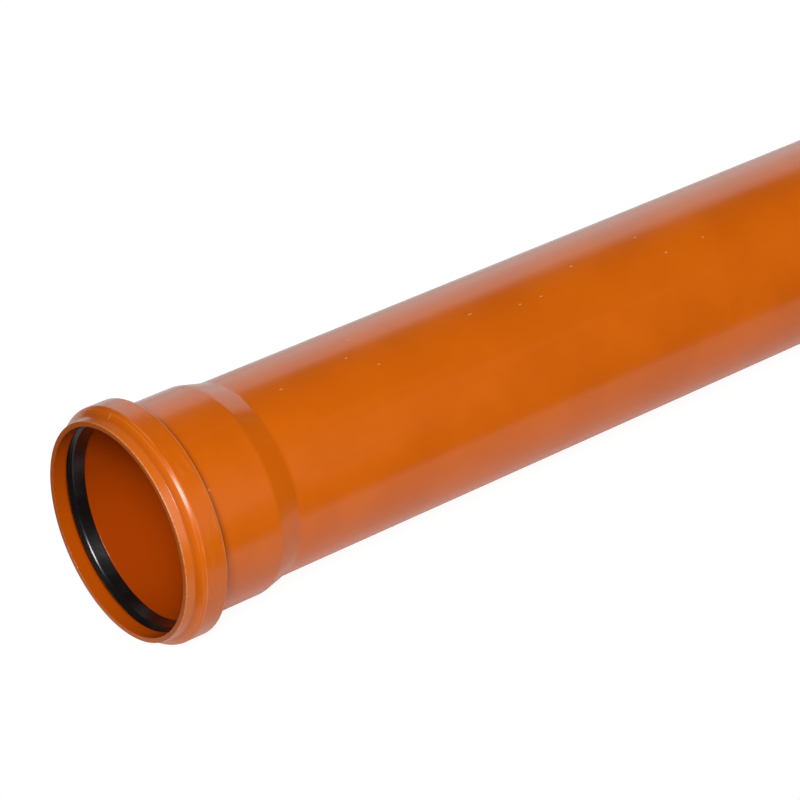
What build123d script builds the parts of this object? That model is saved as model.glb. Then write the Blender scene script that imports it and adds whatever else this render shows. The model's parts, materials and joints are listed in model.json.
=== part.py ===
from build123d import *
import os
from math import radians, tan

# Rigid plastic drain pipe with an integral ring-seal socket, lying on its side.
# Millimetres, +Z up. The pipe's axis runs along +X, from the socket's mouth to the
# plain spigot end. The origin is midway along the pipe, on the floor under the axis.
# The socket, its seal groove and the barrel are one belled piece with one wall.

# barrel
pipe_diameter = 110.0
pipe_wall = 3.2
laying_length = 1000.0
spigot_chamfer_length = 6.0
spigot_chamfer_angle = 15.0

# socket: a bore that takes the next pipe's spigot, and the cone that leads down to the barrel
spigot_clearance = 0.6
socket_depth = 62.0
cone_length = 15.0
cone_round = 10.0

# lip: the short ring between the sawn mouth and the bead
lip_length = 5.2
lip_wall = 3.7
lip_relief = 2.2
lip_taper = 1.0
lip_outer_round = 1.2
lip_inner_round = 0.4

# bead: the raised band whose inside is the seal groove
bead_height = 6.9
bead_end = 23.8
bead_ramp = 2.8
bead_bevel_length = 2.4
bead_bevel_height = 1.3
bead_bevel_round = 0.8
bead_front_round = 0.6
bead_back_round = 0.35
bead_root_round = 0.7
bead_back_lean = 1.4
groove_back_wall = 5.0

# seal ring: a rubber heel that fills the groove, with a lip that leans into the bore
seal_clearance = 0.3
seal_nose_lift = 0.8
seal_nose_length = 2.0
seal_nose_fall = 2.0
seal_nose_round = 2.5
seal_lip_reach = 6.3
seal_lip_squeeze = 0.3
seal_lip_edge = 0.6
seal_heel_inset = 3.0
seal_heel_length = 2.0
seal_undercut_length = 1.2
seal_undercut_rise = 0.3

barrel_radius = pipe_diameter / 2
flow_radius = barrel_radius - pipe_wall
socket_bore_radius = barrel_radius + spigot_clearance
socket_radius = socket_bore_radius + pipe_wall
lip_bore_radius = socket_bore_radius + lip_relief
lip_radius = lip_bore_radius + lip_wall
bead_radius = socket_radius + bead_height
groove_radius = bead_radius - pipe_wall

# stations along the axis, measured from the mouth
cone_end = socket_depth + cone_length
total_length = socket_depth + laying_length
bead_bevel_start = lip_length + bead_ramp
bead_crown_start = bead_bevel_start + bead_bevel_length
groove_back = bead_end - groove_back_wall
groove_front = lip_length + pipe_wall
groove_crown_start = bead_bevel_start + pipe_wall
chamfer_drop = spigot_chamfer_length * tan(radians(spigot_chamfer_angle))


def turned(corners, rounds):
    """Turn a closed outline of (station, radius) corners about the pipe's axis.

    rounds maps a corner's place in the list to the radius of the arc put there.
    """
    outline = Polyline(*corners, close=True)
    section = make_face(outline)
    for place, radius in rounds.items():
        spot = Vector(*corners[place])
        corner = section.vertices().sort_by_distance(spot)[0]
        section = fillet(corner, radius)
    solid = revolve(section, Axis.X, 360.0)
    return Pos(-total_length / 2, 0, bead_radius) * solid


def make_pipe():
    """The barrel and its socket, one wall carried from the mouth to the spigot end."""
    corners = [
        (0, lip_bore_radius),
        (0, lip_radius - lip_taper),
        (lip_length, lip_radius),
        (bead_bevel_start, bead_radius - bead_bevel_height),
        (bead_crown_start, bead_radius),
        (bead_end - bead_back_lean, bead_radius),
        (bead_end, socket_radius),
        (socket_depth, socket_radius),
        (cone_end, barrel_radius),
        (total_length - spigot_chamfer_length, barrel_radius),
        (total_length, barrel_radius - chamfer_drop),
        (total_length, flow_radius),
        (cone_end, flow_radius),
        (socket_depth, socket_bore_radius),
        (groove_back, socket_bore_radius),
        (groove_back - bead_back_lean, groove_radius),
        (groove_crown_start, groove_radius),
        (groove_front, lip_bore_radius),
    ]
    rounds = {
        0: lip_inner_round,
        1: lip_outer_round,
        2: bead_root_round,
        3: bead_bevel_round,
        4: bead_front_round,
        5: bead_back_round,
        6: bead_root_round,
        7: cone_round,
        8: cone_round,
        12: cone_round,
        13: cone_round,
    }
    return turned(corners, rounds)


def make_seal():
    """The rubber ring: its heel in the groove, its lip narrower than the spigot it grips."""
    heel_radius = groove_radius - seal_clearance
    heel_front = groove_crown_start + seal_clearance
    heel_back = groove_back - bead_back_lean - seal_clearance
    nose_front = groove_front + seal_clearance + seal_nose_lift
    nose_front_radius = lip_bore_radius + seal_nose_lift
    nose_back = nose_front + seal_nose_length
    nose_back_radius = nose_front_radius - seal_nose_fall
    lip_edge_radius = barrel_radius - seal_lip_squeeze
    lip_edge_station = nose_back + seal_lip_reach
    heel_inner_radius = socket_bore_radius + seal_heel_inset
    heel_inner_front = heel_back - seal_heel_length
    undercut_station = heel_inner_front - seal_undercut_length
    corners = [
        (nose_back, nose_back_radius),
        (nose_front, nose_front_radius),
        (heel_front, heel_radius),
        (heel_back, heel_radius),
        (heel_back, heel_inner_radius),
        (heel_inner_front, heel_inner_radius),
        (undercut_station, heel_inner_radius + seal_undercut_rise),
        (lip_edge_station + seal_lip_edge, lip_edge_radius + seal_lip_edge),
        (lip_edge_station, lip_edge_radius),
    ]
    rounds = {0: seal_nose_round}
    return turned(corners, rounds)


os.makedirs("parts", exist_ok=True)
export_step(make_pipe(), "parts/pipe.step")
export_step(make_seal(), "parts/seal_ring.step")
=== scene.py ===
import json
import math

import bpy
import numpy as np
from bpy.props import FloatProperty, FloatVectorProperty, IntProperty, PointerProperty
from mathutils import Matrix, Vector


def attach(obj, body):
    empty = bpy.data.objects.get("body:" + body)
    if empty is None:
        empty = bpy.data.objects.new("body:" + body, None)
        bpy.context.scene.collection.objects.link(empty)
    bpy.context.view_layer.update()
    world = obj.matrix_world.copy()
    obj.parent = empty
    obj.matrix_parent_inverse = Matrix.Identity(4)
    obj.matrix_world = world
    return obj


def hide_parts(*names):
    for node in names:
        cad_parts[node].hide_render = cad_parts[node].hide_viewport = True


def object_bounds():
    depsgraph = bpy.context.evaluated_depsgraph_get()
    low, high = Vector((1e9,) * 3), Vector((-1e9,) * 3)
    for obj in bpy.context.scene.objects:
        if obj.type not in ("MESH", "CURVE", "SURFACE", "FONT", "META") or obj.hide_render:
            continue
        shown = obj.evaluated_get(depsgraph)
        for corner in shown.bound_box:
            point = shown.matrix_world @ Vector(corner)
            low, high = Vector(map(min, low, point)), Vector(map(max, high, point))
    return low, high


bl_info = {
    "name": "Drainage pipe",
    "version": (1, 0, 0),
    "blender": (4, 5, 0),
    "location": "3D View > Sidebar > Pipe",
    "description": "A socketed plastic drain pipe with its rubber seal ring, on a plain stage",
    "category": "Add Mesh",
}

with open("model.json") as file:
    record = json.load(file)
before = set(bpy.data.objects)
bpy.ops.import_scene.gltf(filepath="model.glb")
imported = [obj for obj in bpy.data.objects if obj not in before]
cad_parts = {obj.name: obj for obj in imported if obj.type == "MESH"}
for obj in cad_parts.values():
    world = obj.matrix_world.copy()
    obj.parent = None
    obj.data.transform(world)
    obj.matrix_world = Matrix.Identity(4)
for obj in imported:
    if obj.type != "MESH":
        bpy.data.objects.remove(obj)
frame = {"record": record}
cad_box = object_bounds()

MM = 0.001
MOUNTS = {mount["name"]: mount for mount in frame["record"]["mounts"]}
MOUTH_X = cad_box[0].x
END_X = cad_box[1].x
AXIS_Z = MOUNTS["spigot"]["pos_m"][2]
PIPE_LENGTH = END_X - MOUTH_X
BARREL_RADIUS = MOUNTS["spigot"]["dims"]["r_mm"] * MM
FLOW_RADIUS = MOUNTS["flow_bore"]["dims"]["r_mm"] * MM
LIP_BORE_RADIUS = MOUNTS["socket_mouth"]["dims"]["r_mm"] * MM

# radii of the small edges and roots of the shell's section
MOUTH_EDGE_ROUND = 0.4 * MM
STEP_ROOT_ROUND = 0.7 * MM
BEVEL_FOOT_ROUND = 2.0 * MM
BEVEL_TOP_ROUND = 2.6 * MM
BEAD_BACK_ROUND = 0.35 * MM
CHAMFER_ROUND = 0.3 * MM
SPIGOT_EDGE_ROUND = 0.2 * MM
GROOVE_ROUND = 0.3 * MM

# radii of the corners of the seal's section
SEAL_FRONT_ROUND = 0.35 * MM
SEAL_CORNER_ROUND = 0.3 * MM
SEAL_LIP_ROUND = 0.12 * MM

# the stretch of the shell that carries the rings from belling, and the spacing of its points
RINGED_FROM = 26 * MM
RINGED_TO = 110 * MM
RINGED_STEP = 2.0 * MM

# each ring: its distance past the cone's end and its width in millimetres, and its share of the
# rings' height; a distance below zero lies before the cone's end
BELLING_RINGS = (
    (2.0, 1.6, 0.8),
    (6.0, 1.3, 1.0),
    (10.5, 2.2, 0.5),
    (-17.0, 2.0, 0.5),
)

# how fast the saw's burr fades along the pipe, and how far it reaches into the wall
BURR_FADE = 0.35 * MM
BURR_REACH = 0.45 * MM

# how far the sealing lip waves, and the longest side in the seal's outline
SEAL_WAVE = 0.08 * MM
SEAL_STEP = 0.6 * MM

# how far the surface between the shell's inside and outside climbs from the barrel to the socket
BELL_LIFT = 4.9 * MM

# spacing of the rings that the chamfer's tool and the seal's mould leave
TOOL_RING_SPACING = 0.45 * MM
MOULD_RING_SPACING = 0.55 * MM

# each scuff: its station in metres, its degrees from the top, and its half length and half width
# in millimetres
SCUFFS = (
    (0.0072, 10.4, 1.5, 0.3),
    (0.0987, -11.7, 1.1, 0.5),
    (0.1436, -8.8, 0.8, 0.6),
    (0.1565, -21.3, 0.9, 0.4),
    (0.2244, -13.7, 1.5, 0.5),
    (0.2543, -20.6, 0.8, 0.5),
    (0.2689, -21.0, 1.2, 0.4),
    (0.2998, -9.4, 0.9, 0.6),
    (0.3485, -7.5, 1.0, 0.5),
    (0.3567, -25.9, 1.2, 0.5),
    (0.3844, -26.1, 0.8, 0.5),
)

# how much each kind of rubbing or painted light pales the plastic where it is full, and the most
# for all together; the back edge and bevel lines are partly painted highlight, and the lip's pale
# band is painted sheen
WEAR = {
    "speck": 0.55,
    "hair": 0.35,
    "scuff": 0.6,
    "crown": 0.10,
    "back_edge_wear_and_highlight": 0.6,
    "burr": 0.75,
    "bevel": 0.26,
    "lip": 0.08,
    "most": 0.85,
}

# how high each pattern stands in the plastic's bump, in millimetres
RELIEF = {
    "die_lines": 0.010,
    "broad_lines": 0.030,
    "fine": 0.006,
    "clouds": 0.10,
    "saw_teeth": 0.09,
    "tool_rings": 0.008,
    "wear_and_sheen": 0.010,
}

# how much each finish adds to the plastic's roughness
ROUGHER = {
    "clouds": 0.10,
    "fine": 0.05,
    "wear_and_sheen": 0.22,
    "sawn": 0.20,
    "chamfer": 0.08,
    "bevel": 0.07,
}

# the floor's reach along and across the pipe, and its points each way
FLOOR_X = (-0.56, 1.8)
FLOOR_Y = (-0.19, 2.6)
FLOOR_POINTS = 3

# how far behind the axis the floor begins to look white in what shines, where it looks white in
# full, and how white that is
WHITE_FROM = 0.08
WHITE_FULL = 0.25
WHITE_SHARE = 0.7

SENSOR_WIDTH_MM = 36.0
WHITE = (1.0, 1.0, 1.0, 1.0)

# places of the Mix node's share, its two colours and its result, whose names repeat
MIX_SHARE = 0
MIX_FIRST = 6
MIX_SECOND = 7
MIX_COLOUR = 2

# each lamp: its name, the setting with its power, its two sizes, its place and the spot it faces
LAMPS = (
    ("key_lamp", "key", (1.85, 1.5), (-2.93, -2.53, 2.91), (-0.35, 0.0, 0.06)),
    ("side_lamp", "side", (1.3, 3.0), (0.16, -2.66, 1.75), (-0.53, 0.0, 0.06)),
    ("back_lamp", "back", (2.35, 2.45), (1.9, 2.33, 1.25), (0.0, 0.0, 1.2)),
)


def length(name, description, default):
    """A size in metres that a user can change."""
    return FloatProperty(
        name=name, description=description, default=default, unit="LENGTH", precision=5
    )


def slope(name, description, degrees):
    """An angle that a user can change."""
    return FloatProperty(
        name=name, description=description, default=math.radians(degrees), subtype="ANGLE"
    )


def share(name, description, default):
    """A number from 0 to 1 that a user can change."""
    return FloatProperty(
        name=name, description=description, default=default, min=0.0, max=1.0, subtype="FACTOR"
    )


def amount(name, description, default, unit="NONE"):
    """A number from 0 upwards that a user can change."""
    return FloatProperty(
        name=name, description=description, default=default, min=0.0, unit=unit
    )


def colour(name, description, default):
    """A linear colour that a user can change."""
    return FloatVectorProperty(
        name=name,
        description=description,
        default=default,
        size=3,
        min=0.0,
        max=1.0,
        subtype="COLOR",
    )


def sides_round(description):
    """How many points a piece has round the axis."""
    return IntProperty(name="Sides", description=description, default=384, min=48)


class ShellSizes(bpy.types.PropertyGroup):
    """Sizes of the plastic shell, measured along the axis from the mouth."""

    wall: length("Wall", "Thickness of the pipe's wall", BARREL_RADIUS - FLOW_RADIUS)
    spigot_gap: length("Spigot gap", "Radial room round a spigot in the socket", 0.6 * MM)
    socket_depth: length("Socket depth", "Where the straight socket ends", 62 * MM)
    cone_length: length("Cone length", "Length of the cone down to the barrel", 15 * MM)
    cone_round: length("Cone round", "Radius of the bends at the cone's two ends", 10 * MM)
    lip_length: length("Lip length", "Length of the lip in front of the bead", 5.2 * MM)
    lip_wall: length("Lip wall", "Thickness of the lip", 3.7 * MM)
    lip_taper: length("Lip taper", "How far the lip's outside falls towards the mouth", 0.7 * MM)
    lip_round: length("Lip round", "Radius of the lip's outer edge", 0.5 * MM)
    bead_height: length("Bead height", "How far the bead stands above the socket", 6.9 * MM)
    bead_ramp: length("Bead ramp", "Length of the slope in front of the bead", 3.0 * MM)
    bevel_length: length("Bevel length", "Length of the flatter slope up to the crown", 1.8 * MM)
    bevel_height: length("Bevel height", "Height of the flatter slope up to the crown", 1.1 * MM)
    bead_end: length("Bead end", "Where the bead drops to the socket", 23.8 * MM)
    groove_back_wall: length("Groove wall", "Thickness of the wall behind the groove", 5.0 * MM)
    bead_back_lean: length("Back lean", "How far the bead's back leans", 1.4 * MM)
    chamfer_length: length("Chamfer length", "Length of the spigot's chamfer", 6.0 * MM)
    chamfer_angle: slope("Chamfer angle", "Slope of the spigot's chamfer", 15.0)
    keep_inside: length("Keep inside", "How far the surface stays inside the solid", 0.12 * MM)
    burr: length("Burr", "Height of the saw's burr on the mouth's inner edge", 0.16 * MM)
    belling_ring: length("Belling ring", "Height of the faint rings from belling", 0.06 * MM)
    sides: sides_round("Points round the pipe")


class SealSizes(bpy.types.PropertyGroup):
    """Sizes of the rubber ring's section."""

    clearance: length("Clearance", "Gap to the groove", 0.3 * MM)
    nose_lift: length("Nose lift", "How far the nose's front stands off the lip's bore", 0.8 * MM)
    nose_length: length("Nose length", "Length of the nose", 2.0 * MM)
    nose_fall: length("Nose fall", "How far the nose slopes inwards", 2.0 * MM)
    nose_round: length("Nose round", "Radius of the nose", 2.5 * MM)
    lip_reach: length("Lip reach", "Length of the sealing lip", 6.3 * MM)
    lip_squeeze: length("Lip squeeze", "How much narrower the lip is than a spigot", 0.3 * MM)
    lip_edge: length("Lip edge", "Thickness of the lip's edge", 0.6 * MM)
    heel_inset: length("Heel inset", "How far the heel's inside stands off the bore", 3.0 * MM)
    heel_length: length("Heel length", "Length of the heel's inside", 2.0 * MM)
    undercut_length: length("Undercut length", "Length of the hollow behind the lip", 1.2 * MM)
    undercut_rise: length("Undercut rise", "Height of the hollow above the heel", 0.3 * MM)
    sides: sides_round("Points round the ring")


class PlasticLook(bpy.types.PropertyGroup):
    """The orange plastic's colours and sheen."""

    base: colour("Plastic", "The plastic's own colour", (0.66, 0.127, 0.0012))
    # the rubbed colour also serves for the painted sheen on the lip and the painted highlight lines
    # on the bead
    pale: colour("Rubbed", "Colour of rubbed and scuffed spots", (0.80, 0.36, 0.13))
    # the sawn colour also darkens the roots of the bead's steps as painted shade
    sawn: colour("Sawn", "Colour of the sawn ends", (0.42, 0.085, 0.006))
    # the inside colour is darkened and deepened as painted shade for the pipe's inside
    inside: colour("Inside", "Colour of the unweathered plastic inside", (0.41, 0.052, 0.0008))
    deep: colour("Deep", "Colour of darker clouds in the plastic", (0.56, 0.100, 0.001))
    roughness: share("Roughness", "Roughness of the drawn skin", 0.23)


class RubberLook(bpy.types.PropertyGroup):
    """The seal's colours and sheen."""

    base: colour("Rubber", "The rubber's own colour", (0.0045, 0.0038, 0.0038))
    bloom: colour("Bloom", "Colour of the pale bloom on the rubber", (0.014, 0.0125, 0.0125))
    roughness: share("Roughness", "Roughness of the moulded rubber", 0.16)


class StageLook(bpy.types.PropertyGroup):
    """Camera, floor and light."""

    lens: amount("Lens", "Focal length in millimetres for a 36 mm sensor", 160.677, "CAMERA")
    camera_place: FloatVectorProperty(
        name="Camera place",
        description="Where the camera stands",
        default=(-1.37028, -1.27506, 1.09053),
        size=3,
        subtype="TRANSLATION",
        unit="LENGTH",
    )
    camera_heading: slope("Heading", "Turn of the camera about the vertical", -38.823)
    camera_dip: slope("Dip", "How far the camera looks below level", 31.863)
    floor: colour("Floor", "Colour of the floor", (0.80, 0.80, 0.80))
    air: amount("Air", "Strength of the light from all round", 0.038)
    side: amount("Side lamp", "Power of the lamp at the camera's right in watts", 19.0, "POWER")
    key: amount("Key lamp", "Power of the main soft lamp in watts", 222.0, "POWER")
    back: amount("Back lamp", "Power of the pale backdrop in watts", 21.5, "POWER")
    plain: amount("Plain floor", "Strength of the plain white of the floor", 1.16)
    shadow_share: share("Shadow share", "How much of the floor's own shading is seen", 0.20)


def smoothstep(low, high, value):
    """0 below low, 1 above high, and the cubic 3t^2 - 2t^3 of the way t between them."""
    t = np.clip((value - low) / (high - low), 0.0, 1.0)
    return t * t * (3.0 - 2.0 * t)


def rounded_outline(section, arc_steps=7, hold=0.6 * MM):
    """A closed outline with arcs in place of its corners; section pairs each corner with a radius.

    At a corner of radius r whose sides turn by the angle a, the arc touches each side at
    r tan(a/2) from the corner, and its centre lies r / cos(a/2) from the corner on the line that
    halves it. A point is added on each side, hold or three tenths of the free side away from the
    arc, whichever is less, so that shading stays flat along the side.
    """
    corners = np.array([corner for corner, radius in section])
    rounds = np.array([radius for corner, radius in section])
    after = np.roll(corners, -1, axis=0)
    side = np.linalg.norm(after - corners, axis=1)
    way = (after - corners) / side[:, None]
    back_way = -np.roll(way, 1, axis=0)
    halves = 0.5 * np.arccos(np.clip(-(way * back_way).sum(axis=1), -1.0, 1.0))
    touches = rounds * np.tan(halves)
    room = side - touches - np.roll(touches, -1)
    points = []
    for place, (corner, radius, half, touch) in enumerate(zip(corners, rounds, halves, touches)):
        to_back, to_ahead = back_way[place], way[place]
        middle = (to_back + to_ahead) / np.linalg.norm(to_back + to_ahead)
        centre = corner + middle * radius / math.cos(half)
        start = corner + to_back * touch - centre
        across = np.array([-start[1], start[0]])
        if across @ (corner + to_ahead * touch - centre) < 0:
            across = -across
        turn = np.linspace(0.0, 2.0 * half, arc_steps)[:, None]
        arc = centre + start * np.cos(turn) + across * np.sin(turn)
        stand = min(hold, 0.3 * room[place - 1]), min(hold, 0.3 * room[place])
        points += [arc[0] + to_back * stand[0], *arc, arc[-1] + to_ahead * stand[1]]
    return np.array(points)


def filled_outline(points, low, high, step):
    """The outline with more points on its sides where they run between two stations.

    Each side that lies between low and high is divided evenly, into pieces no longer than step.
    """
    filled = []
    for here, there in zip(points, np.roll(points, -1, axis=0)):
        inside = low <= min(here[0], there[0]) and max(here[0], there[0]) <= high
        cuts = max(1, math.ceil(np.linalg.norm(there - here) / step)) if inside else 1
        way = np.arange(cuts)[:, None] / cuts
        filled.append(here + (there - here) * way)
    return np.concatenate(filled)


def turned_grid(outline, sides):
    """The outline carried round the axis: a grid of stations, radii and angles.

    Row i holds the outline's point i at evenly spaced angles, with angle 0 straight up.
    """
    angle = np.arange(sides) * (2.0 * math.pi / sides)
    station = np.repeat(outline[:, :1], sides, axis=1)
    radius = np.repeat(outline[:, 1:], sides, axis=1)
    return station, radius, np.broadcast_to(angle, station.shape)


def linked_object(name, data):
    """An object that holds the data, put into the scene."""
    made = bpy.data.objects.new(name, data)
    bpy.context.scene.collection.objects.link(made)
    return made


def closed_surface(name, station, radius, angle):
    """A mesh object from the grid, closed both ways, smooth, with its faces pointing outwards.

    A point lies at x = mouth + station, y = -radius sin(angle), z = axis + radius cos(angle).
    """
    rows, sides = station.shape
    x = MOUTH_X + station
    y = -radius * np.sin(angle)
    z = AXIS_Z + radius * np.cos(angle)
    places = np.stack([x, y, z], axis=-1).reshape(-1, 3)
    row, side = np.meshgrid(np.arange(rows), np.arange(sides), indexing="ij")
    next_row, next_side = (row + 1) % rows, (side + 1) % sides
    loops = [(row, next_side), (next_row, next_side), (next_row, side), (row, side)]
    quads = np.stack([at * sides + by for at, by in loops], axis=-1).reshape(-1, 4)
    mesh = bpy.data.meshes.new(name)
    mesh.from_pydata(places, [], quads)
    mesh.polygons.foreach_set("use_smooth", np.ones(len(quads), bool))
    mesh.update()
    return linked_object(name, mesh)


def shell_outline(size):
    """The wall in section: the mouth's inner edge, out over the bead to the spigot, and back."""
    keep = size.keep_inside
    socket_bore = BARREL_RADIUS + size.spigot_gap
    socket = socket_bore + size.wall
    bead = socket + size.bead_height
    groove = bead - size.wall
    lip = LIP_BORE_RADIUS + size.lip_wall
    bevel_start = size.lip_length + size.bead_ramp
    cone_end = size.socket_depth + size.cone_length
    groove_front = size.lip_length + size.wall
    groove_back = size.bead_end - size.groove_back_wall
    chamfer_drop = size.chamfer_length * math.tan(size.chamfer_angle)
    start, end = keep, PIPE_LENGTH - keep
    return [
        ((start, LIP_BORE_RADIUS), MOUTH_EDGE_ROUND),
        ((start, lip - size.lip_taper - keep), size.lip_round),
        ((size.lip_length, lip - keep), STEP_ROOT_ROUND),
        ((bevel_start, bead - size.bevel_height - keep), BEVEL_FOOT_ROUND),
        ((bevel_start + size.bevel_length, bead - keep), BEVEL_TOP_ROUND),
        ((size.bead_end - size.bead_back_lean, bead - keep), BEAD_BACK_ROUND),
        ((size.bead_end, socket - keep), STEP_ROOT_ROUND),
        ((size.socket_depth, socket - keep), size.cone_round),
        ((cone_end, BARREL_RADIUS - keep), size.cone_round),
        ((end - size.chamfer_length, BARREL_RADIUS - keep), CHAMFER_ROUND),
        ((end, BARREL_RADIUS - chamfer_drop - keep), SPIGOT_EDGE_ROUND),
        ((end, FLOW_RADIUS), SPIGOT_EDGE_ROUND),
        ((cone_end, FLOW_RADIUS), size.cone_round),
        ((size.socket_depth, socket_bore), size.cone_round),
        ((groove_back, socket_bore), GROOVE_ROUND),
        ((groove_back - size.bead_back_lean, groove), GROOVE_ROUND),
        ((bevel_start + size.wall, groove), GROOVE_ROUND),
        ((groove_front, LIP_BORE_RADIUS), GROOVE_ROUND),
    ]


def make_shell(size):
    """The plastic shell: the wall's outline carried round the axis, with the marks of its making.

    Belling leaves low rings past the cone, where the outside's radius grows by the height times
    exp(-(distance / width)^2), and a hollow before it. Each wavers with sines of 3 and 7 times
    the angle. The saw's burr lifts the mouth's inner edge by products of sines of the angle
    times exp(-(distance from the mouth / fade)^2).
    """
    outline = rounded_outline(shell_outline(size))
    outline = filled_outline(outline, RINGED_FROM, RINGED_TO, RINGED_STEP)
    station, radius, angle = turned_grid(outline, size.sides)
    cone_end = size.socket_depth + size.cone_length
    outside = radius > BARREL_RADIUS - 1.0 * MM
    out_or_in = outside * np.where(station < cone_end, -1, 1)
    for place, width, height in BELLING_RINGS:
        ring = np.exp(-(((station - cone_end) / MM - place) / width) ** 2)
        waver = 1.0 + 0.35 * np.sin(3 * angle + place) + 0.2 * np.sin(7 * angle - place)
        radius = radius + out_or_in * (size.belling_ring * height) * ring * waver
    near_edge = np.exp(-((station - size.keep_inside) / BURR_FADE) ** 2)
    near_edge = near_edge * (radius < LIP_BORE_RADIUS + BURR_REACH)
    ragged = np.sin(61 * angle) * np.sin(23 * angle + 1.0)
    ragged = ragged + 0.6 * np.sin(97 * angle + 2.0) * np.sin(11 * angle)
    radius = radius - size.burr * near_edge * np.clip(ragged, -0.2, 1.0)
    return closed_surface("pipe_shell", station, radius, angle)


def seal_outline(seal, shell):
    """The seal in section: its rounded nose, round the heel in the groove, to the sealing lip."""
    bead = BARREL_RADIUS + shell.spigot_gap + shell.wall + shell.bead_height
    groove_front = shell.lip_length + shell.wall
    groove_back = shell.bead_end - shell.groove_back_wall - shell.bead_back_lean
    heel_radius = bead - shell.wall - seal.clearance
    heel_front = groove_front + shell.bead_ramp + seal.clearance
    heel_back = groove_back - seal.clearance
    heel_inner = BARREL_RADIUS + shell.spigot_gap + seal.heel_inset
    heel_inner_front = heel_back - seal.heel_length
    undercut = heel_inner_front - seal.undercut_length
    nose_front = groove_front + seal.clearance + seal.nose_lift
    nose_radius = LIP_BORE_RADIUS + seal.nose_lift
    nose_back = nose_front + seal.nose_length
    lip_place = nose_back + seal.lip_reach
    lip_radius = BARREL_RADIUS - seal.lip_squeeze
    return [
        ((nose_back, nose_radius - seal.nose_fall), seal.nose_round),
        ((nose_front, nose_radius), SEAL_FRONT_ROUND),
        ((heel_front, heel_radius), SEAL_CORNER_ROUND),
        ((heel_back, heel_radius), SEAL_CORNER_ROUND),
        ((heel_back, heel_inner), SEAL_CORNER_ROUND),
        ((heel_inner_front, heel_inner), SEAL_CORNER_ROUND),
        ((undercut, heel_inner + seal.undercut_rise), SEAL_CORNER_ROUND),
        ((lip_place + seal.lip_edge, lip_radius + seal.lip_edge), SEAL_LIP_ROUND),
        ((lip_place, lip_radius), SEAL_LIP_ROUND),
    ]


def make_seal(seal, shell):
    """The rubber ring: its section carried round the axis, with a sealing lip that waves a little.

    The radius changes by SEAL_WAVE (sin(5 angle + 0.6) + sin(9 angle) / 2), in full at the lip's
    edge and not at all from the mouth's bore outwards.
    """
    outline = rounded_outline(seal_outline(seal, shell), arc_steps=6, hold=0.2 * MM)
    outline = filled_outline(outline, 0.0, PIPE_LENGTH, SEAL_STEP)
    station, radius, angle = turned_grid(outline, seal.sides)
    freedom = smoothstep(LIP_BORE_RADIUS, BARREL_RADIUS - seal.lip_squeeze, radius)
    wave = np.sin(5 * angle + 0.6) + 0.5 * np.sin(9 * angle)
    radius = radius + SEAL_WAVE * wave * freedom
    return closed_surface("seal_rubber", station, radius, angle)


class Wire:
    """A value that flows between shader nodes. Arithmetic on it adds Math nodes."""

    def __init__(self, finish, socket):
        self.finish = finish
        self.socket = socket

    def maths(self, operation, *values):
        """The result of a Math node on the values."""
        node = self.finish.add("ShaderNodeMath", {"operation": operation}, dict(enumerate(values)))
        return Wire(self.finish, node.outputs[0])

    def __add__(self, other):
        return self.maths("ADD", self, other)

    def __radd__(self, other):
        return self.maths("ADD", other, self)

    def __sub__(self, other):
        return self.maths("SUBTRACT", self, other)

    def __rsub__(self, other):
        return self.maths("SUBTRACT", other, self)

    def __mul__(self, other):
        return self.maths("MULTIPLY", self, other)

    def __rmul__(self, other):
        return self.maths("MULTIPLY", other, self)

    def __truediv__(self, other):
        return self.maths("DIVIDE", self, other)

    def __rtruediv__(self, other):
        return self.maths("DIVIDE", other, self)

    def __pow__(self, other):
        return self.maths("POWER", self, other)

    def __abs__(self):
        return self.maths("ABSOLUTE", self)

    def sqrt(self):
        return self.maths("SQRT", self)

    def least(self, other):
        return self.maths("MINIMUM", self, other)

    def most(self, other):
        return self.maths("MAXIMUM", self, other)

    def angle_over(self, other):
        """The angle whose tangent is this value over the other."""
        return self.maths("ARCTAN2", self, other)

    def ripple(self, spacing):
        """A sine of the value that repeats every spacing."""
        return self.maths("SINE", self * (2.0 * math.pi / spacing))

    def rise(self, low, high):
        """0 below low, 1 above high, smooth between; falls instead where low is above high."""
        start, end = (0.0, 1.0) if low < high else (1.0, 0.0)
        low, high = min(low, high), max(low, high)
        settings = {"interpolation_type": "SMOOTHSTEP"}
        values = {"Value": self, "From Min": low, "From Max": high, "To Min": start, "To Max": end}
        node = self.finish.add("ShaderNodeMapRange", settings, values)
        return Wire(self.finish, node.outputs["Result"])

    def bump_at(self, place, width):
        """1 where the value is at place, falling to 0 at width either side."""
        return (1.0 - abs(self - place) / width).rise(0.0, 1.0)


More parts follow.
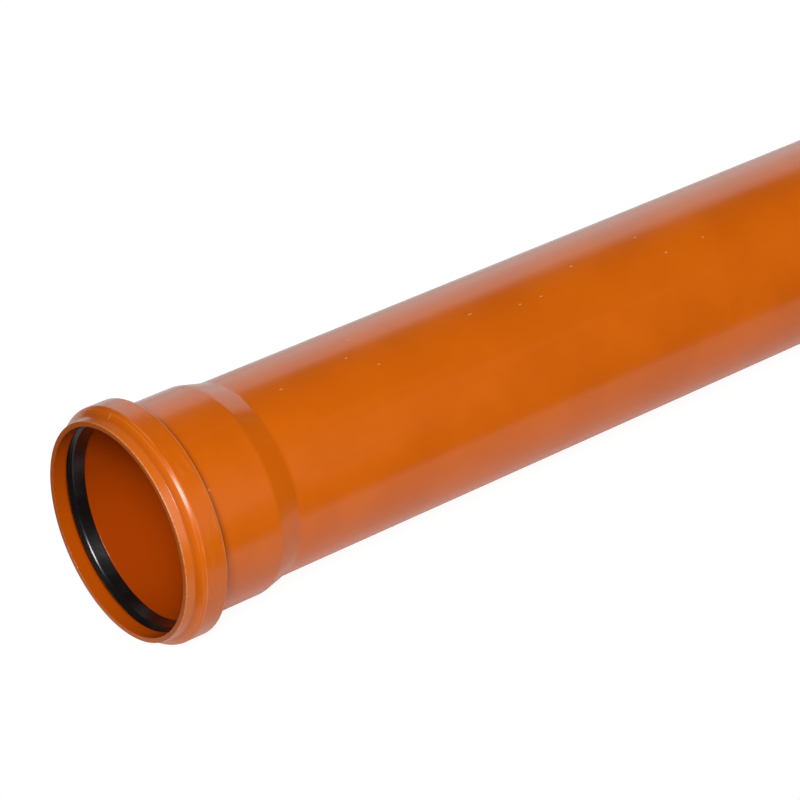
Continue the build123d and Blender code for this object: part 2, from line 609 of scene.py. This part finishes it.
class Finish:
    """The nodes of a material or of the world."""

    def __init__(self, owner):
        self.owner = owner
        owner.use_nodes = True
        self.tree = owner.node_tree
        self.tree.nodes.clear()

    def add(self, kind, settings=None, values=None):
        """Adds a node: its settings first, then the values or links of its sockets."""
        node = self.tree.nodes.new(kind)
        for key, value in (settings or {}).items():
            setattr(node, key, value)
        for key, value in (values or {}).items():
            if isinstance(value, Wire):
                self.tree.links.new(value.socket, node.inputs[key])
            else:
                node.inputs[key].default_value = value
        return node

    def wire(self, kind, output, settings=None, values=None):
        """Adds a node and gives one of its outputs."""
        return Wire(self, self.add(kind, settings, values).outputs[output])

    def place(self):
        """Object coordinates with the origin on the axis at the mouth, in metres."""
        raw = self.wire("ShaderNodeTexCoord", "Object")
        values = {"Vector": raw, "Location": (-MOUTH_X, 0.0, -AXIS_Z)}
        return self.wire("ShaderNodeMapping", "Vector", {"vector_type": "POINT"}, values)

    def parts(self, vector):
        """The x, y and z of a vector."""
        node = self.add("ShaderNodeSeparateXYZ", None, {"Vector": vector})
        return [Wire(self, output) for output in node.outputs]

    def joined(self, x, y, z):
        """A vector from three values."""
        return self.wire("ShaderNodeCombineXYZ", "Vector", None, {"X": x, "Y": y, "Z": z})

    def scaled(self, vector, scale, angles=(0.0, 0.0, 0.0)):
        """A vector scaled by axis and then turned by angles, for a pattern that runs one way."""
        values = {"Vector": vector, "Rotation": angles, "Scale": scale}
        return self.wire("ShaderNodeMapping", "Vector", {"vector_type": "POINT"}, values)

    def noise(self, vector, scale, detail=2.0, rough=0.5):
        """Soft noise from 0 to 1."""
        values = {"Vector": vector, "Scale": scale, "Detail": detail, "Roughness": rough}
        return self.wire("ShaderNodeTexNoise", "Fac", {"noise_dimensions": "3D"}, values)

    def cells(self, vector, scale):
        """Distance to the nearest of scattered points, and that point's three random numbers."""
        values = {"Vector": vector, "Scale": scale}
        node = self.add("ShaderNodeTexVoronoi", {"feature": "F1"}, values)
        return Wire(self, node.outputs["Distance"]), self.parts(Wire(self, node.outputs["Color"]))

    def blend(self, share, first, second):
        """A colour that goes from the first to the second."""
        values = {MIX_SHARE: share, MIX_FIRST: first, MIX_SECOND: second}
        return self.wire("ShaderNodeMix", MIX_COLOUR, {"data_type": "RGBA"}, values)

    def raised(self, height, strength):
        """A normal that follows a height in millimetres."""
        values = {"Height": height, "Strength": strength, "Distance": MM}
        return self.wire("ShaderNodeBump", "Normal", None, values)

    def close(self, shader, end="ShaderNodeOutputMaterial"):
        """Sends a shader's output to the surface, and gives the material or world."""
        self.add(end, None, {"Surface": shader})
        return self.owner


def opaque(rgb):
    """A colour with full alpha."""
    return (*rgb, 1.0)


def outside_share(station, radius, size):
    """1 on the shell's outside and 0 on its inside.

    The surface between them runs through the wall: level in the socket, then down the cone.
    """
    cone_end = size.socket_depth + size.cone_length
    belled = ((cone_end - station) / size.cone_length).most(0.0).least(1.0)
    wall_middle = BARREL_RADIUS - 0.5 * size.wall
    above = radius - wall_middle - belled * BELL_LIFT
    return above.rise(-0.1 * MM, 0.1 * MM)


def scuffed(station, turn):
    """1 on the small rubbed marks, each an ellipse that fades at its rim; turn is from the top."""
    total = None
    for along, degrees, half_length, half_width in SCUFFS:
        far = ((station - along) / (half_length * MM)) ** 2
        side = ((turn - math.radians(degrees)) * (BARREL_RADIUS / (half_width * MM))) ** 2
        mark = (far + side).rise(1.6, 0.2)
        total = mark if total is None else total.most(mark)
    return total


def scattered_wear(finish, place):
    """Specks and short hairs at scattered points, stretched a little along the pipe."""
    spread, lots = finish.cells(finish.scaled(place, (0.55, 1.0, 1.0), (0.0, 0.0, 0.35)), 60.0)
    specks = spread.rise(0.055, 0.02) * lots[0].rise(0.62, 0.66)
    spread, lots = finish.cells(finish.scaled(place, (0.06, 1.0, 1.0), (0.3, 0.2, 0.5)), 95.0)
    hairs = spread.rise(0.03, 0.01) * lots[1].rise(0.80, 0.84)
    return specks * WEAR["speck"] + hairs * WEAR["hair"]


def socket_wear_and_sheen(finish, place, station, radius, outside, size):
    """Rubbing on the socket's outside, with painted light: worn spots on the crown; pale lines at
    the back edge and at the bevel's two edges, partly worn and partly painted highlight; and a pale
    lip of painted sheen.
    """
    rubbing = finish.noise(finish.scaled(place, (500.0, 90.0, 90.0)), 1.0, detail=3.0)
    bead_radius = BARREL_RADIUS + size.spigot_gap + size.wall + size.bead_height
    crown = radius.rise(bead_radius - 0.7 * MM, bead_radius - 0.2 * MM)
    # pale line on the bead's back edge: partly rubbed, partly painted highlight
    back_edge_wear_and_highlight = crown * station.bump_at(size.bead_end - size.bead_back_lean, 0.8 * MM)
    bevel_start = size.lip_length + size.bead_ramp
    # pale lines on the bevel's two edges: partly rubbed, partly painted highlight
    bevel_wear_and_highlights = station.bump_at(bevel_start, 0.45 * MM) * 0.6
    bevel_wear_and_highlights = bevel_wear_and_highlights + station.bump_at(bevel_start + size.bevel_length, 0.45 * MM)
    # the lip's pale band is painted sheen
    lip = station.rise(size.lip_length + 0.3 * MM, size.lip_length - 0.6 * MM)
    wear_and_sheen = crown * rubbing.rise(0.50, 0.78) * WEAR["crown"]
    wear_and_sheen = wear_and_sheen + back_edge_wear_and_highlight * rubbing.rise(0.25, 0.55) * WEAR["back_edge_wear_and_highlight"]
    wear_and_sheen = wear_and_sheen + bevel_wear_and_highlights * outside * rubbing.rise(0.3, 0.6) * WEAR["bevel"]
    return wear_and_sheen + lip * outside * WEAR["lip"]


def painted_root_shade(station, outside, size):
    """Painted shade that keeps the roots of the bead's two steps dark."""
    front = station.bump_at(size.lip_length + 0.7 * MM, 1.6 * MM) * 0.5
    back = station.bump_at(size.bead_end + 1.0 * MM, 6.0 * MM) * 0.35
    return (front + back) * outside


def plastic_finish(look, size):
    """Orange drawn plastic: cloudy colour, lengthwise die lines, rubbed spots with painted sheen
    and highlight lines, painted shade inside and in the bead's roots, and sawn and turned ends.
    """
    finish = Finish(bpy.data.materials.new("orange_plastic"))
    place = finish.place()
    station, y, z = finish.parts(place)
    radius = (y * y + z * z).sqrt()
    outside = outside_share(station, radius, size)

    clouds = finish.noise(place, 22.0, detail=3.0, rough=0.55)
    fine = finish.noise(place, 260.0)
    die_lines = finish.noise(
        finish.scaled(place, (6.0, 900.0, 900.0)), 1.0, detail=3.0, rough=0.6
    )
    broad_lines = finish.noise(finish.scaled(place, (1.5, 160.0, 160.0)), 1.0)

    # the sawn faces of both ends, with the saw's teeth seen as short strokes across the wall
    mouth = station.rise(0.40 * MM, 0.20 * MM)
    spigot = station.rise(PIPE_LENGTH - 0.5 * MM, PIPE_LENGTH - 0.3 * MM)
    sawn = mouth.most(spigot)
    round_way = finish.joined(0.0, y / radius, z / radius)
    strokes = finish.noise(round_way, 48.0, detail=3.0, rough=0.7)
    teeth = strokes * 0.65 + finish.noise(round_way, 170.0, detail=1.0) * 0.35
    face_radius = LIP_BORE_RADIUS + size.lip_wall - size.lip_taper - size.lip_round
    burr = station.rise(1.0 * MM, 0.7 * MM) * radius.bump_at(face_radius + 0.25 * MM, 0.55 * MM)
    chamfer_start = PIPE_LENGTH - size.chamfer_length
    chamfer = station.rise(chamfer_start - 0.1 * MM, chamfer_start + 0.1 * MM)

    wear_and_sheen = scattered_wear(finish, place)
    wear_and_sheen = wear_and_sheen + scuffed(station, y.angle_over(z)) * outside * WEAR["scuff"]
    wear_and_sheen = wear_and_sheen + socket_wear_and_sheen(finish, place, station, radius, outside, size)
    wear_and_sheen = wear_and_sheen + burr * strokes.rise(0.35, 0.6) * WEAR["burr"]
    wear_and_sheen = wear_and_sheen.least(WEAR["most"])

    base, pale, dark = opaque(look.base), opaque(look.pale), opaque(look.sawn)
    ground = finish.blend(clouds.rise(0.72, 0.30) * 0.55, base, opaque(look.deep))
    ground = finish.blend(broad_lines.rise(0.55, 0.85) * 0.04, ground, pale)
    # painted shade: the roots of the bead's two steps are darkened towards the sawn colour
    ground = finish.blend(painted_root_shade(station, outside, size), ground, dark)
    # painted shade: the plastic inside is darker, and lifts a little a short way in from the mouth
    painted_inside_shade = finish.blend(station.rise(9.0 * MM, 6.0 * MM) * 0.35, opaque(look.inside), base)
    skin = finish.blend(outside, painted_inside_shade, finish.blend(wear_and_sheen, ground, pale))

    bevel_middle = size.lip_length + size.bead_ramp + 0.5 * size.bevel_length
    bevel = station.bump_at(bevel_middle, 2.4 * MM) * outside
    rough = look.roughness + (clouds - 0.5) * ROUGHER["clouds"] + (fine - 0.5) * ROUGHER["fine"]
    rough = rough + wear_and_sheen * ROUGHER["wear_and_sheen"] + sawn * ROUGHER["sawn"]
    rough = rough + chamfer * ROUGHER["chamfer"] + bevel * ROUGHER["bevel"]
    height = (
        die_lines * RELIEF["die_lines"]
        + broad_lines * RELIEF["broad_lines"]
        + fine * RELIEF["fine"]
        + clouds * RELIEF["clouds"]
        + sawn * teeth * RELIEF["saw_teeth"]
        + chamfer * station.ripple(TOOL_RING_SPACING) * RELIEF["tool_rings"]
        - wear_and_sheen * RELIEF["wear_and_sheen"]
    )
    values = {
        "Base Color": finish.blend(sawn * (0.45 + teeth * 0.55), skin, dark),
        "Roughness": rough,
        "Normal": finish.raised(height, 0.6),
        "IOR": 1.5,
    }
    return finish.close(finish.wire("ShaderNodeBsdfPrincipled", "BSDF", None, values))


def rubber_finish(look):
    """Black moulded rubber: fine rings from the mould, a patchy grey bloom and a soft sheen."""
    finish = Finish(bpy.data.materials.new("seal_rubber"))
    place = finish.place()
    station, y, z = finish.parts(place)
    radius = (y * y + z * z).sqrt()
    patches = finish.noise(place, 70.0, detail=3.0, rough=0.6)
    grain = finish.noise(place, 1400.0)
    rings = (radius - station * 0.6).ripple(MOULD_RING_SPACING)
    dust, lots = finish.cells(place, 420.0)
    motes = dust.rise(0.16, 0.08) * lots[2].rise(0.86, 0.90)
    bloom = (patches.rise(0.46, 0.74) * 0.7 + motes * 0.5).least(1.0)
    values = {
        "Base Color": finish.blend(bloom, opaque(look.base), opaque(look.bloom)),
        "Roughness": look.roughness + patches * 0.14 + motes * 0.2,
        "Normal": finish.raised(grain * 0.012 + rings * 0.006 + patches * 0.03, 0.5),
        "IOR": 1.6,
    }
    return finish.close(finish.wire("ShaderNodeBsdfPrincipled", "BSDF", None, values))


def floor_finish(look):
    """Pale floor. The camera sees plain white, with a share of the real shading as a soft shadow.

    What shines sees plain white behind the pipe too, as it would a pale wall.
    """
    finish = Finish(bpy.data.materials.new("pale_floor"))
    own = finish.wire("ShaderNodeBsdfDiffuse", "BSDF", None, {"Color": opaque(look.floor)})
    values = {"Color": WHITE, "Strength": look.plain}
    plain = finish.wire("ShaderNodeEmission", "Emission", None, values)
    camera = finish.wire("ShaderNodeLightPath", "Is Camera Ray")
    glossy = finish.wire("ShaderNodeLightPath", "Is Glossy Ray")
    across = finish.parts(finish.wire("ShaderNodeTexCoord", "Object"))[1]
    seen = camera.most(glossy * across.rise(WHITE_FROM, WHITE_FULL) * WHITE_SHARE)
    values = {0: seen * (1.0 - look.shadow_share), 1: own, 2: plain}
    return finish.close(finish.wire("ShaderNodeMixShader", 0, None, values))


def make_floor(look):
    """A pale floor under the pipe and behind it, level at z = 0 on an even grid of x and y.

    It ends a little way in front of the pipe and of its mouth.
    """
    along = np.linspace(*FLOOR_X, FLOOR_POINTS)
    across = np.linspace(*FLOOR_Y, FLOOR_POINTS)
    x, y = np.meshgrid(along, across, indexing="ij")
    places = np.stack([x, y, np.zeros_like(x)], axis=-1).reshape(-1, 3)
    row, side = np.meshgrid(np.arange(FLOOR_POINTS - 1), np.arange(FLOOR_POINTS - 1), indexing="ij")
    corner = row * FLOOR_POINTS + side
    ahead = corner + FLOOR_POINTS
    quads = np.stack([corner, ahead, ahead + 1, corner + 1], axis=-1).reshape(-1, 4)
    mesh = bpy.data.meshes.new("floor")
    mesh.from_pydata(places, [], quads)
    mesh.materials.append(floor_finish(look))
    linked_object("floor", mesh)


def make_lamp(name, power, size, place, target):
    """A soft rectangular lamp at place that faces target."""
    lamp = bpy.data.lights.new(name, "AREA")
    lamp.shape = "RECTANGLE"
    lamp.size, lamp.size_y = size
    lamp.energy = power
    facing = np.array(target) - np.array(place)
    across = math.hypot(facing[0], facing[1])
    pitch = math.atan2(across, -facing[2])
    heading = math.atan2(-facing[0], facing[1])
    made = linked_object(name, lamp)
    made.location = place
    made.rotation_euler = (pitch, 0.0, heading)


def make_air(look):
    """Even white light from all round, with plain white for the camera past the floor."""
    air = Finish(bpy.data.worlds.new("air"))
    camera = air.wire("ShaderNodeLightPath", "Is Camera Ray")
    values = {"Color": WHITE, "Strength": look.air}
    light = air.wire("ShaderNodeBackground", "Background", None, values)
    backdrop = air.wire("ShaderNodeBackground", "Background", None, {"Color": WHITE})
    mixed = air.wire("ShaderNodeMixShader", 0, None, {0: camera, 1: light, 2: backdrop})
    bpy.context.scene.world = air.close(mixed, "ShaderNodeOutputWorld")


def make_camera(look):
    """A camera turned by its heading and dipped below level, with the lens of the view."""
    data = bpy.data.cameras.new("camera")
    data.lens = look.lens
    data.sensor_width = SENSOR_WIDTH_MM
    made = linked_object("camera", data)
    made.location = look.camera_place
    made.rotation_euler = (math.radians(90.0) - look.camera_dip, 0.0, look.camera_heading)
    bpy.context.scene.camera = made


def settle(piece, node, material):
    """Gives a piece its finish, and says which solid it stands for."""
    piece.data.materials.append(material)
    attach(piece, "root")
    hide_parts(node)


class PIPE_OT_shell(bpy.types.Operator):
    """Makes the pipe's plastic shell"""

    bl_idname = "pipe.shell"
    bl_label = "Plastic shell"

    def execute(self, context):
        scene = context.scene
        piece = make_shell(scene.pipe_shell)
        settle(piece, "pipe", plastic_finish(scene.pipe_plastic, scene.pipe_shell))
        return {"FINISHED"}


class PIPE_OT_seal(bpy.types.Operator):
    """Makes the rubber seal ring in the socket"""

    bl_idname = "pipe.seal"
    bl_label = "Seal ring"

    def execute(self, context):
        scene = context.scene
        piece = make_seal(scene.pipe_seal, scene.pipe_shell)
        settle(piece, "seal_ring", rubber_finish(scene.pipe_rubber))
        return {"FINISHED"}


class PIPE_OT_stage(bpy.types.Operator):
    """Makes the floor, the lamps and the camera"""

    bl_idname = "pipe.stage"
    bl_label = "Stage"

    def execute(self, context):
        scene = context.scene
        look = scene.pipe_stage
        make_floor(look)
        make_air(look)
        for name, setting, size, place, target in LAMPS:
            make_lamp(name, getattr(look, setting), size, place, target)
        make_camera(look)
        scene.view_settings.view_transform = "Standard"
        return {"FINISHED"}


class PIPE_PT_panel(bpy.types.Panel):
    """The pipe's pieces and sizes"""

    bl_idname = "PIPE_PT_panel"
    bl_label = "Drainage pipe"
    bl_space_type = "VIEW_3D"
    bl_region_type = "UI"
    bl_category = "Pipe"

    def draw(self, context):
        layout = self.layout
        for operator, groups in PANEL_ROWS:
            box = layout.box()
            box.operator(operator)
            for name in groups:
                group = getattr(context.scene, name)
                for key in group.__annotations__:
                    box.prop(group, key)


# each operator, with the settings that it reads
PANEL_ROWS = (
    ("pipe.shell", ("pipe_shell", "pipe_plastic")),
    ("pipe.seal", ("pipe_seal", "pipe_rubber")),
    ("pipe.stage", ("pipe_stage",)),
)
GROUPS = {
    "pipe_shell": ShellSizes,
    "pipe_seal": SealSizes,
    "pipe_plastic": PlasticLook,
    "pipe_rubber": RubberLook,
    "pipe_stage": StageLook,
}
CLASSES = (*GROUPS.values(), PIPE_OT_shell, PIPE_OT_seal, PIPE_OT_stage, PIPE_PT_panel)


def register():
    """Registers the classes, and gives the scene its settings."""
    for cls in CLASSES:
        bpy.utils.register_class(cls)
    for name, group in GROUPS.items():
        setattr(bpy.types.Scene, name, PointerProperty(type=group))


def unregister():
    """Takes the settings and the classes away again."""
    for name in GROUPS:
        delattr(bpy.types.Scene, name)
    for cls in reversed(CLASSES):
        bpy.utils.unregister_class(cls)


def main():
    """Makes every piece in order."""
    register()
    for operator in (bpy.ops.pipe.shell, bpy.ops.pipe.seal, bpy.ops.pipe.stage):
        operator()
    bpy.context.view_layer.update()


if __name__ == "__main__":
    main()
